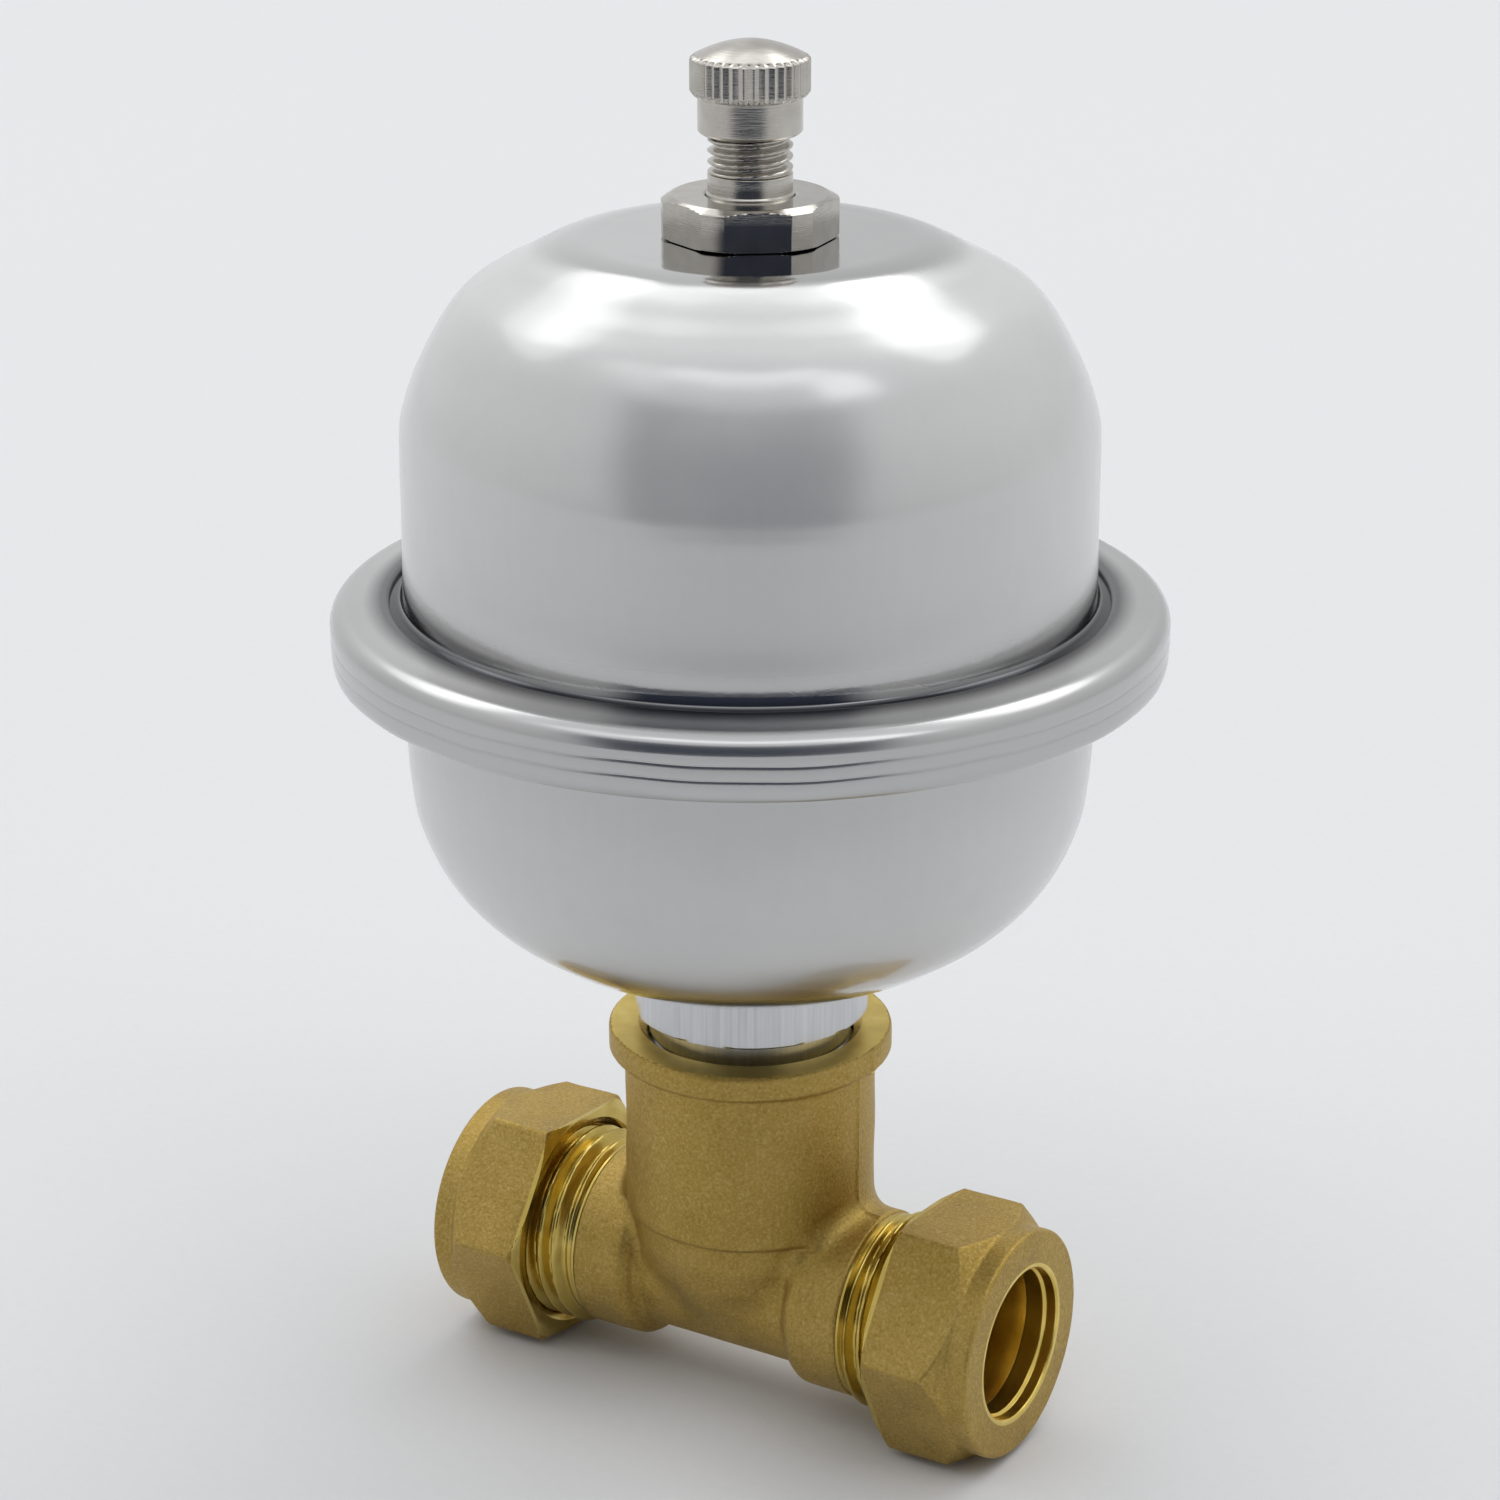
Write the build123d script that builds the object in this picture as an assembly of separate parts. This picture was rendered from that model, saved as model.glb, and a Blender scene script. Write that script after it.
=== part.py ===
from build123d import *
import math
import os

# Miniature expansion vessel (about 0.16 l) screwed into a 15 mm x 1/2" BSP x 15 mm
# compression tee. Millimetres, +Z up the vessel's axis, X along the pipe run.
# Origin: on the vessel's axis, level with the lowest corner of the nuts.

# ---- driving dimensions ----------------------------------------------------
NUT_AF = 24.0            # across flats of the 15 mm compression nuts
NUT_CORNER = NUT_AF / math.sqrt(3.0)
NUT_LENGTH = 11.7
NUT_TURN_R = -4.1        # how far the right nut stands off "corner level", degrees
NUT_TURN_L = -4.8
NUT_START_R = 20.6       # tee-side face of the right nut, from the vessel's axis
NUT_START_L = 20.9
PIPE_BORE_R = 7.6        # clearance for 15 mm pipe
PIPE_STOP = 10.0         # pipe stops this far from the vessel's axis
WATERWAY_R = 6.3
BODY_END = 23.6          # end face of the tee's male threads
G12_MAJOR_R = 20.955 / 2  # 1/2" BSP parallel
G12_ROOT_R = 18.631 / 2
G12_PITCH = 1.814
VALVE_PITCH = 0.794      # valve mouth, 32 threads to the inch
M8_PITCH = 1.06
SHEET = 0.8              # stainless sheet of the two shells
RING_R = 41.5            # outside radius of the crimp ring

# height of the run's axis above the lowest nut corner
ZR = NUT_CORNER * math.sin(math.radians(60.0 - NUT_TURN_L))

os.makedirs("parts", exist_ok=True)


# ---- helpers ---------------------------------------------------------------
def spin_z(points):
    """Solid of revolution about Z from a closed outline of (r, z), z from the run's axis."""
    line = Polyline(*[(r, 0, z + ZR) for r, z in points], close=True)
    return revolve(make_face(line), axis=Axis.Z)


def spin_x(points, side=1):
    """Solid of revolution about the run's axis from a closed outline of (x, r)."""
    line = Polyline(*[(side * x, 0, r + ZR) for x, r in points], close=True)
    return revolve(make_face(line), axis=Axis((0, 0, ZR), (1, 0, 0)))


def smooth_z(outer, inner):
    """Shell of revolution between two smooth curves of (r, z), closed by straight ends."""
    a = Spline(*[(r, 0, z + ZR) for r, z in outer])
    b = Spline(*[(r, 0, z + ZR) for r, z in inner])
    c = Line(a @ 1, b @ 1)
    d = Line(a @ 0, b @ 0)
    return revolve(make_face([a, c, b, d]), axis=Axis.Z)


def offset_inward(points, t):
    """Points moved t to the left of the path."""
    out = []
    n = len(points)
    for i, (x, y) in enumerate(points):
        x0, y0 = points[max(i - 1, 0)]
        x1, y1 = points[min(i + 1, n - 1)]
        dx, dy = x1 - x0, y1 - y0
        m = math.hypot(dx, dy)
        out.append((x - dy / m * t, y + dx / m * t))
    return out


def regular(n, r, turn_deg, z0, height):
    """Upright prism with its first corner at turn_deg from +X."""
    pts = [
        (
            r * math.cos(math.radians(turn_deg + 360.0 / n * k)),
            r * math.sin(math.radians(turn_deg + 360.0 / n * k)),
            z0 + ZR,
        )
        for k in range(n)
    ]
    return extrude(make_face(Polyline(*pts, close=True)), amount=height, dir=(0, 0, 1))


def save(shape, name):
    solids = shape.solids() if hasattr(shape, "solids") else [shape]
    if len(solids) != 1:
        solids = sorted(solids, key=lambda s: s.volume, reverse=True)
        print(name, "solids", [round(s.volume, 3) for s in solids])
    export_step(solids[0], "parts/%s.step" % name)
    return solids[0]


def grooves(z0, z1, pitch, crest, root):
    """Closed (r, z) path points down a grooved cylinder from z1 to z0, standing in for a thread."""
    pts = []
    n = int((z1 - z0) / pitch)
    z = z1
    for _ in range(n):
        pts += [(crest, z), (crest, z - 0.16 * pitch), (root, z - 0.5 * pitch), (root, z - 0.66 * pitch)]
        z -= pitch
    pts += [(crest, z), (crest, z0)]
    return pts


# ---- tee body --------------------------------------------------------------
branch = spin_z(
    [(0, -2), (8.0, -2), (9.6, 1.0), (12.9, 8.3), (12.9, 25.4), (14.43, 25.97), (14.43, 28.6), (0, 28.6)]
)
run_profile = [(0, 0), (0, 8.3), (8.8, 8.3), (9.8, 9.9), (16.0, 9.9), (16.2, G12_MAJOR_R)]
x = 16.2
while x + G12_PITCH < BODY_END - 0.6:
    run_profile += [
        (x + 0.30, G12_MAJOR_R),
        (x + 0.95, G12_ROOT_R),
        (x + 1.16, G12_ROOT_R),
        (x + G12_PITCH, G12_MAJOR_R),
    ]
    x += G12_PITCH
run_profile += [(BODY_END - 0.7, G12_MAJOR_R), (BODY_END, G12_MAJOR_R - 0.7), (BODY_END, 0)]
tee = branch
for side in (1, -1):
    tee = tee + spin_x(run_profile, side)
# water way along the run, pipe sockets and the olive's seats
tee = tee - spin_x([(-PIPE_STOP - 1, 0), (-PIPE_STOP - 1, WATERWAY_R), (PIPE_STOP + 1, WATERWAY_R), (PIPE_STOP + 1, 0)])
socket = [
    (PIPE_STOP, 0),
    (PIPE_STOP, PIPE_BORE_R),
    (22.4, PIPE_BORE_R),
    (BODY_END, 8.8),
    (BODY_END + 1, 8.8),
    (BODY_END + 1, 0),
]
for side in (1, -1):
    tee = tee - spin_x(socket, side)
# threaded socket of the branch (plain bore at the thread's clearance) and its mouth
BRANCH_BORE_R = 10.62
tee = tee - spin_z(
    [(0, 0), (WATERWAY_R, 0), (WATERWAY_R, 12.0), (BRANCH_BORE_R, 14.0), (BRANCH_BORE_R, 27.87), (11.35, 28.6), (11.35, 30), (0, 30)]
)
tee_body = save(tee, "tee_body")

# ---- compression nuts and olives -------------------------------------------
nut_outline = [
    (0, 0),
    (0, 12.5),
    (0.75, NUT_CORNER + 0.02),
    (7.35, NUT_CORNER + 0.02),
    (9.3, 11.9),
    (11.1, 11.9),
    (NUT_LENGTH, 11.3),
    (NUT_LENGTH, 0),
]
NUT_THREAD_R = 10.53     # plain bore that clears the male crests by 0.05 mm


def nut(side, start, turn):
    pts = [
        (
            0,
            NUT_CORNER * math.cos(math.radians(turn + 60 * k)),
            NUT_CORNER * math.sin(math.radians(turn + 60 * k)) + ZR,
        )
        for k in range(6)
    ]
    hexa = extrude(make_face(Polyline(*pts, close=True)), amount=NUT_LENGTH, dir=(1, 0, 0))
    hexa = Pos(start if side > 0 else -start - NUT_LENGTH, 0, 0) * hexa
    body = hexa & spin_x([(start + x, r) for x, r in nut_outline], side)
    seat = 28.0 - 20.6 + start
    bore = [
        (start - 1, 0),
        (start - 1, 11.2),
        (start, 11.2),
        (start + 0.67, NUT_THREAD_R),
        (seat - 1.5, NUT_THREAD_R),
        (seat - 1.5, 9.4),
        (seat - 0.4, 9.4),
        (29.4 - 20.6 + start, PIPE_BORE_R),
        (start + NUT_LENGTH - 0.58, PIPE_BORE_R),
        (start + NUT_LENGTH, 8.18),
        (start + NUT_LENGTH + 1, 8.18),
        (start + NUT_LENGTH + 1, 0),
    ]
    return body - spin_x(bore, side)


save(nut(1, NUT_START_R, NUT_TURN_R), "right_compression_nut")
save(nut(-1, NUT_START_L, NUT_TURN_L), "left_compression_nut")

olive_outline = [
    (22.9, PIPE_BORE_R),
    (22.9, 7.95),
    (24.1, 8.65),
    (27.7, 8.65),
    (28.9, 7.95),
    (28.9, PIPE_BORE_R),
]
save(spin_x(olive_outline, 1), "right_olive")
save(spin_x(olive_outline, -1), "left_olive")

# ---- vessel connector and its thread seal ----------------------------------
CONNECTOR_BORE_R = 4.5
CONNECTOR_AF = 23.0      # across flats, turned down to 24 mm over the corners
CONNECTOR_TURN = 8.8
conn_outer = spin_z(
    [(CONNECTOR_BORE_R, 17.2), (9.6, 17.2)]
    + [(r, z) for r, z in reversed(grooves(17.9, 27.9, G12_PITCH, G12_MAJOR_R, G12_ROOT_R))]
    + [(10.4, 27.95), (10.4, 30.3), (9.4, 30.3), (9.4, 30.58), (11.2, 30.58), (12.0, 31.1), (12.0, 35.45), (7.0, 35.45), (7.0, 36.32), (8.3, 36.32), (8.3, 37.0), (7.6, 37.5), (CONNECTOR_BORE_R, 37.5)]
)
hex_cut = regular(6, CONNECTOR_AF / math.sqrt(3.0), CONNECTOR_TURN, 30.4, 5.2)
below = Pos(0, 0, 17 + ZR) * Cylinder(13, 13.5, align=(Align.CENTER, Align.CENTER, Align.MIN))
above = Pos(0, 0, 35.45 + ZR) * Cylinder(13, 3, align=(Align.CENTER, Align.CENTER, Align.MIN))
connector = conn_outer & (hex_cut + below + above)
save(connector, "connector")
save(
    spin_z([(G12_MAJOR_R + 0.01, 18.0), (10.60, 18.0), (10.60, 26.8), (G12_MAJOR_R + 0.01, 26.8)]),
    "thread_seal_tape",
)

# ---- vessel shells ---------------------------------------------------------
up_wall = [
    (36.6, 74.13),
    (35.6, 74.3),
    (34.95, 74.9),
    (34.6, 76.2),
    (34.3, 79.0),
    (34.15, 84.0),
    (34.17, 88.0),
    (34.15, 91.04),
    (33.6, 94.76),
    (32.6, 97.58),
    (31.2, 100.42),
    (29.45, 103.37),
    (27.6, 105.5),
    (25.5, 106.9),
    (23.0, 108.2),
    (20.6, 109.5),
    (18.6, 110.35),
    (16.6, 110.75),
    (14.0, 110.75),
    (11.5, 110.6),
]
up_in = offset_inward(up_wall, SHEET)
up_in[0] = (up_wall[0][0], up_wall[0][1] - SHEET)
up_in[-1] = (up_wall[-1][0], up_wall[-1][1] - SHEET)
VALVE_HOLE_R = 4.35
upper = smooth_z(up_wall, up_in)
upper = upper + spin_z([(36.5, 73.33), (40.1, 73.33), (40.1, 74.13), (36.5, 74.13)])
upper = upper + spin_z([(VALVE_HOLE_R, 109.8), (11.6, 109.8), (11.6, 110.6), (VALVE_HOLE_R, 110.6)])
save(upper, "upper_shell")

low_wall = [
    (36.2, 69.07),
    (35.2, 69.02),
    (34.45, 68.6),
    (34.1, 67.5),
    (34.1, 65.5),
    (34.3, 63.0),
    (34.28, 60.0),
    (34.1, 57.5),
    (33.44, 53.0),
    (31.26, 48.0),
    (28.06, 44.0),
    (23.42, 40.5),
    (18.5, 38.0),
    (14.5, 36.2),
    (12.0, 35.5),
]
low_in = offset_inward(low_wall, -SHEET)
low_in[0] = (low_wall[0][0], low_wall[0][1] + SHEET)
low_in[-1] = (low_wall[-1][0], low_wall[-1][1] + SHEET)
lower = smooth_z(low_wall, low_in)
lower = lower + spin_z([(36.1, 69.07), (39.8, 69.07), (39.8, 69.87), (36.1, 69.87)])
lower = lower + spin_z([(7.05, 35.5), (12.1, 35.5), (12.1, 36.3), (7.05, 36.3)])
save(lower, "lower_shell")

# ---- crimp ring ------------------------------------------------------------
RM, RA, RT, RZ = RING_R - 2.86, 2.86, 0.8, 73.04


def arc(cx, cz, r, a0, a1, n):
    return [
        (cx + r * math.cos(math.radians(a0 + (a1 - a0) * k / n)), cz + r * math.sin(math.radians(a0 + (a1 - a0) * k / n)))
        for k in range(n + 1)
    ]


ring = (
    [(35.5, 75.1), (36.6, 75.55), (37.6, 75.82)]
    + arc(RM, RZ, RA, 90, 0, 12)
    + [(41.45, 71.6), (41.25, 70.2), (41.0, 68.95), (40.75, 68.4), (40.2, 68.2), (36.4, 68.2), (36.4, 69.0), (39.85, 69.0), (40.2, 69.35), (40.45, 70.5), (40.65, 71.7)]
    + arc(RM, RZ, RA - RT, 0, 90, 10)
    + [(37.4, 75.0), (36.5, 74.72), (35.75, 74.42)]
)
save(spin_z(ring), "crimp_ring")

# ---- diaphragm: clamped rim, rolling wall and crown ------------------------
save(
    spin_z([(36.6, 69.95), (40.0, 69.95), (40.0, 73.25), (36.8, 73.25), (36.3, 72.3), (33.2, 72.3), (33.2, 70.8), (36.1, 70.8)]),
    "diaphragm_rim",
)
dia_out = [
    (33.15, 72.3),
    (32.75, 70.0),
    (32.75, 67.0),
    (32.95, 63.0),
    (32.75, 58.0),
    (32.0, 53.4),
    (30.2, 49.2),
    (27.3, 45.7),
    (23.2, 42.5),
    (19.2, 40.3),
    (16.6, 39.2),
    (15.1, 38.75),
]
dia_in = offset_inward(dia_out, -1.5)
dia_in[0] = (31.65, 72.3)
dia_in[-1] = (15.1, 40.25)
save(smooth_z(dia_out, dia_in), "diaphragm_wall")
save(
    spin_z([(0, 38.35), (12.5, 38.35), (14.95, 38.75), (14.95, 40.2), (12.5, 39.9), (0, 39.9)]),
    "diaphragm_crown",
)

# ---- charging valve --------------------------------------------------------
STEM_BORE_R = 2.15
CORE_BORE_R = 2.66
stem = spin_z(
    [(STEM_BORE_R, 106.9), (6.6, 106.9), (7.0, 107.3), (7.0, 108.3), (4.25, 108.3), (4.25, 115.05), (4.1, 115.2), (4.1, 116.95)]
    + [(3.5, 117.25), (3.5, 117.45)]
    + [(r, z) for r, z in reversed(grooves(117.9, 120.6, M8_PITCH, 4.1, 3.5))]
    + [(3.85, 120.9)]
    + [(r, z) for r, z in reversed(grooves(121.2, 127.0, VALVE_PITCH, 3.85, 3.4))]
    + [(3.5, 127.55), (CORE_BORE_R + 0.25, 127.55), (CORE_BORE_R, 127.3), (CORE_BORE_R, 122.4), (STEM_BORE_R, 121.5)]
)
save(stem, "valve_stem")
save(spin_z([(4.4, 108.35), (6.8, 108.35), (6.8, 109.75), (4.4, 109.75)]), "valve_inner_seal")
save(spin_z([(4.4, 110.63), (7.4, 110.63), (7.4, 110.87), (4.4, 110.87)]), "valve_outer_gasket")
HEX_AF = 16.2
# the normal of one flat points 36.9 degrees from -Y towards +X
FLAT_AZ = -90.0 + 36.9
hexnut = regular(6, HEX_AF / math.sqrt(3.0), FLAT_AZ + 30.0, 110.9, 4.0) & spin_z(
    [(4.31, 110.9), (8.5, 110.9), (8.55, 111.0), (8.55, 114.2), (7.55, 114.9), (4.31, 114.9)]
)
save(hexnut, "valve_hex_nut")

# valve core
save(
    spin_z([(0.75, 122.75), (1.95, 122.75), (2.6, 123.4), (2.6, 126.0), (1.5, 126.0), (1.5, 124.9), (0.75, 124.9)]),
    "core_plug",
)
save(
    spin_z([(0.62, 112.0), (1.75, 112.0), (1.75, 121.3), (1.45, 122.7), (1.2, 122.7), (1.2, 113.0), (0.62, 113.0)]),
    "core_barrel",
)
save(spin_z([(1.8, 119.8), (2.1, 119.8), (2.1, 121.2), (1.8, 121.2)]), "core_barrel_seal")
pin = spin_z(
    [(0, 110.3), (1.45, 110.3), (1.45, 111.35), (0.45, 111.35), (0.45, 118.9), (1.1, 118.9), (1.1, 119.6), (0.6, 119.9), (0.6, 126.3), (0.95, 126.6), (0.95, 127.0), (0, 127.0)]
)
save(pin, "core_pin")
save(spin_z([(0.5, 111.38), (1.55, 111.38), (1.55, 111.97), (0.5, 111.97)]), "core_poppet_seal")
spring_path = Helix(pitch=0.82, height=5.6, radius=0.83, center=(0, 0, 113.15 + ZR))
spring_wire = Plane(origin=spring_path @ 0, z_dir=spring_path % 0) * Circle(0.14)
save(sweep(spring_wire, path=spring_path), "core_spring")

# ---- cap -------------------------------------------------------------------
CAP_R, KNURL_R, FLUTES = 5.03, 5.77, 36
knurl = []
for k in range(FLUTES):
    a = 2 * math.pi * k / FLUTES
    for da, r in ((-0.30, KNURL_R), (0.30, KNURL_R), (0.5, KNURL_R - 0.28)):
        b = a + da * 2 * math.pi / FLUTES
        knurl.append((r * math.cos(b), r * math.sin(b), 123.9 + ZR))
grip = extrude(make_face(Polyline(*knurl, close=True)), amount=6.0, dir=(0, 0, 1))
dome = [(r, 129.62 - 1.55 * (r / 5.5) ** 2) for r in (5.3, 4.5, 3.6, 2.7, 1.8, 0.9, 0.0)]
grip = grip & spin_z([(0, 124.35), (5.3, 124.35), (5.8, 124.85), (5.8, 127.6)] + dome)
cap = grip + spin_z([(0, 120.8), (4.6, 120.8), (CAP_R, 121.2), (CAP_R, 124.5), (0, 124.5)])
cap = cap - spin_z([(0, 120), (4.15, 120), (4.15, 120.9), (3.92, 121.15), (3.92, 128.2), (0, 128.2)])
save(cap, "valve_cap")
save(spin_z([(1.4, 127.62), (3.85, 127.62), (3.85, 128.15), (1.4, 128.15)]), "cap_seal")
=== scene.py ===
import math

import bpy
import numpy as np
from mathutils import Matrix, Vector

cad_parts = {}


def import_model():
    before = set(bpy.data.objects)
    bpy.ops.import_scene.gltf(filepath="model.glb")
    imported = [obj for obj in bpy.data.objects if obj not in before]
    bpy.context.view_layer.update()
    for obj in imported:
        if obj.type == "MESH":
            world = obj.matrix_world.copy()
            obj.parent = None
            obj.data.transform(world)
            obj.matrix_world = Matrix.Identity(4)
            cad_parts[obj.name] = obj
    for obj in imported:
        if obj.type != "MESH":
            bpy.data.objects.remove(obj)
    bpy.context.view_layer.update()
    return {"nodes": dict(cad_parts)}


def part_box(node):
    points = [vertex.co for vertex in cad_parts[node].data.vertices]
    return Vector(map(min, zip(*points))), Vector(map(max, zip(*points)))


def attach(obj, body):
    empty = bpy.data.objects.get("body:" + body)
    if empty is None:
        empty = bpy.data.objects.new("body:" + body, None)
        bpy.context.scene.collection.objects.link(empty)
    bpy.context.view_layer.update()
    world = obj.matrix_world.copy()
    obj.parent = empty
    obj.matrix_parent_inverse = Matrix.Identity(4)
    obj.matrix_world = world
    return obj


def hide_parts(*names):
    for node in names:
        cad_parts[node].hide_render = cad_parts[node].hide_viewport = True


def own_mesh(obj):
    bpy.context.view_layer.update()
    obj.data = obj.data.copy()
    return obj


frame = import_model()

MM = 0.001
# height of the pipe run's axis in the row frame, mm: the crimp ring starts 68.2 mm above it
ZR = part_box("crimp_ring")[0].z * 1000 - 68.2
TAU = 2 * math.pi


# ---------------------------------------------------------------------------
# mesh building
# ---------------------------------------------------------------------------
def new_object(name, verts, faces, mats, face_mat=None, sharp=32.0):
    """verts (n,3) in mm, faces an (m,4) array or a list of loops; returns a linked object in metres."""
    me = bpy.data.meshes.new(name)
    verts = np.asarray(verts, float) * MM
    if isinstance(faces, np.ndarray):
        n, k = faces.shape
        me.vertices.add(len(verts))
        me.vertices.foreach_set("co", verts.astype(np.float32).ravel())
        me.loops.add(n * k)
        me.loops.foreach_set("vertex_index", faces.astype(np.int32).ravel())
        me.polygons.add(n)
        me.polygons.foreach_set("loop_start", (np.arange(n) * k).astype(np.int32))
        me.polygons.foreach_set("loop_total", np.full(n, k, np.int32))
    else:
        me.from_pydata([tuple(v) for v in verts], [], faces)
    for m in mats:
        me.materials.append(m)
    if face_mat is not None:
        me.polygons.foreach_set("material_index", np.asarray(face_mat, np.int32))
    me.update(calc_edges=True)
    me.validate()
    me.polygons.foreach_set("use_smooth", np.ones(len(me.polygons), bool))
    if sharp is not None:
        me.set_sharp_from_angle(angle=math.radians(sharp))
    ob = bpy.data.objects.new(name, me)
    bpy.context.scene.collection.objects.link(ob)
    return ob


def arc_corner(p0, p1, p2, r, n):
    """Points that round the corner p1 with radius r."""
    a, b, c = (np.array(p, float) for p in (p0, p1, p2))
    u, v = a - b, c - b
    lu, lv = np.linalg.norm(u), np.linalg.norm(v)
    if r <= 0 or lu < 1e-9 or lv < 1e-9:
        return [tuple(b)]
    u, v = u / lu, v / lv
    cosang = float(np.clip(u @ v, -1, 1))
    ang = math.acos(cosang)
    if ang > math.radians(176) or ang < math.radians(4):
        return [tuple(b)]
    t = min(r / math.tan(ang / 2), 0.46 * lu, 0.46 * lv)
    r = t * math.tan(ang / 2)
    s, e = b + u * t, b + v * t
    mid = u + v
    centre = b + mid / np.linalg.norm(mid) * (r / math.sin(ang / 2))
    a0, a1 = math.atan2(*(s - centre)[::-1]), math.atan2(*(e - centre)[::-1])
    d = (a1 - a0 + math.pi) % TAU - math.pi
    return [
        (centre[0] + r * math.cos(a0 + d * k / n), centre[1] + r * math.sin(a0 + d * k / n))
        for k in range(n + 1)
    ]


def rounded(points, r=0.12, n=3, closed=True):
    """A closed outline with its corners rounded. A point may carry its own radius as a third number."""
    out = []
    m = len(points)
    for i, p in enumerate(points):
        rr = p[2] if len(p) > 2 else r
        if not closed and i in (0, m - 1):
            out.append((p[0], p[1]))
            continue
        out += arc_corner(points[i - 1][:2], p[:2], points[(i + 1) % m][:2], rr, n)
    return out


def subdivide(points, step, closed=True):
    """Adds points along straight runs longer than step."""
    out = []
    m = len(points)
    last = m if closed else m - 1
    for i in range(last):
        a, b = np.array(points[i], float), np.array(points[(i + 1) % m], float)
        k = max(1, int(math.ceil(np.linalg.norm(b - a) / step)))
        for j in range(k):
            out.append(tuple(a + (b - a) * j / k))
    if not closed:
        out.append(tuple(points[-1]))
    return out


def smooth_curve(points, per=10):
    """Centripetal Catmull-Rom curve through (r, z) points."""
    P = [np.array(p, float) for p in points]
    P = [2 * P[0] - P[1]] + P + [2 * P[-1] - P[-2]]
    out = []
    for i in range(1, len(P) - 2):
        p0, p1, p2, p3 = P[i - 1 : i + 3]
        t0 = 0.0
        t1 = t0 + max(np.linalg.norm(p1 - p0), 1e-6) ** 0.5
        t2 = t1 + max(np.linalg.norm(p2 - p1), 1e-6) ** 0.5
        t3 = t2 + max(np.linalg.norm(p3 - p2), 1e-6) ** 0.5
        for k in range(per):
            t = t1 + (t2 - t1) * k / per
            A1 = (t1 - t) / (t1 - t0) * p0 + (t - t0) / (t1 - t0) * p1
            A2 = (t2 - t) / (t2 - t1) * p1 + (t - t1) / (t2 - t1) * p2
            A3 = (t3 - t) / (t3 - t2) * p2 + (t - t2) / (t3 - t2) * p3
            B1 = (t2 - t) / (t2 - t0) * A1 + (t - t0) / (t2 - t0) * A2
            B2 = (t3 - t) / (t3 - t1) * A2 + (t - t1) / (t3 - t1) * A3
            C = (t2 - t) / (t2 - t1) * B1 + (t - t1) / (t2 - t1) * B2
            out.append((float(C[0]), float(C[1])))
    out.append(tuple(points[-1]))
    return out


def offset_path(points, t):
    """Points moved t to the left of the path's direction."""
    P = np.array(points, float)
    d = np.gradient(P, axis=0)
    d /= np.linalg.norm(d, axis=1)[:, None]
    return [tuple(p) for p in P + t * np.stack([-d[:, 1], d[:, 0]], 1)]


def lathe(name, outline, mats, axis="z", turns=256, shape=None, mat_of=None, sharp=32.0, flip=False):
    """A closed outline of (r, a) turned about an axis.

    a is the height above the run's axis for axis z, or the distance from the vessel's axis for axis x.
    shape(r, a, th) may return new (r, a) arrays, for hexagons, flutes and threads.
    An outline whose first and last points have r = 0 closes on the axis.
    flip turns an x piece half a turn about Z, for the left-hand end.
    """
    P = np.array([p[:2] for p in outline], float)
    poles = P[0, 0] < 1e-9 and P[-1, 0] < 1e-9
    area = 0.5 * np.sum(P[:, 0] * np.roll(P[:, 1], -1) - np.roll(P[:, 0], -1) * P[:, 1])
    if area < 0:  # counter-clockwise in (r, a) gives outward normals
        P = P[::-1]
    n = len(P)
    th = np.arange(turns) * TAU / turns
    R = np.repeat(P[:, 0][:, None], turns, 1)
    A = np.repeat(P[:, 1][:, None], turns, 1)
    T = np.repeat(th[None, :], n, 0)
    if shape is not None:
        R, A = shape(R, A, T)
    if axis == "z":
        X, Y, Z = R * np.cos(T), R * np.sin(T), A + ZR
        inward = False
    else:
        X, Y, Z = A, R * np.cos(T), R * np.sin(T) + ZR
        inward = False
        if flip:
            X, Y = -X, -Y
    V = np.stack([X, Y, Z], -1).reshape(-1, 3)
    i = np.arange(n if not poles else n - 1)
    j = np.arange(turns)
    I, J = np.meshgrid(i, j, indexing="ij")
    I2, J2 = (I + 1) % n, (J + 1) % turns
    quads = np.stack([I * turns + J, I * turns + J2, I2 * turns + J2, I2 * turns + J], -1).reshape(-1, 4)
    rows = I.reshape(-1)
    if poles:
        # drop the degenerate rings: one vertex at each end
        first, last = 0, n - 1
        keep = (rows != first) & (rows != last - 1)
        body = quads[keep]
        faces = [list(q) for q in body]
        face_rows = list(rows[keep])
        a0, a1 = 0, (n - 1) * turns
        for k in range(turns):
            k2 = (k + 1) % turns
            faces.append([a0, turns + k2, turns + k])
            face_rows.append(0)
            faces.append([a1, (n - 2) * turns + k, (n - 2) * turns + k2])
            face_rows.append(n - 2)
        used = np.ones(len(V), bool)
        used[1:turns] = False
        used[a1 + 1 :] = False
        remap = np.cumsum(used) - 1
        faces = [[int(remap[q]) for q in f] for f in faces]
        V = V[used]
        rows = np.array(face_rows)
    else:
        faces = quads
    fm = None
    if mat_of is not None:
        mid_r = (P[rows, 0] + P[(rows + 1) % n, 0]) / 2
        mid_a = (P[rows, 1] + P[(rows + 1) % n, 1]) / 2
        fm = [mat_of(r, a) for r, a in zip(mid_r, mid_a)]
    ob = new_object(name, V, faces, mats, fm, sharp)
    fix_normals(ob)
    return ob


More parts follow.
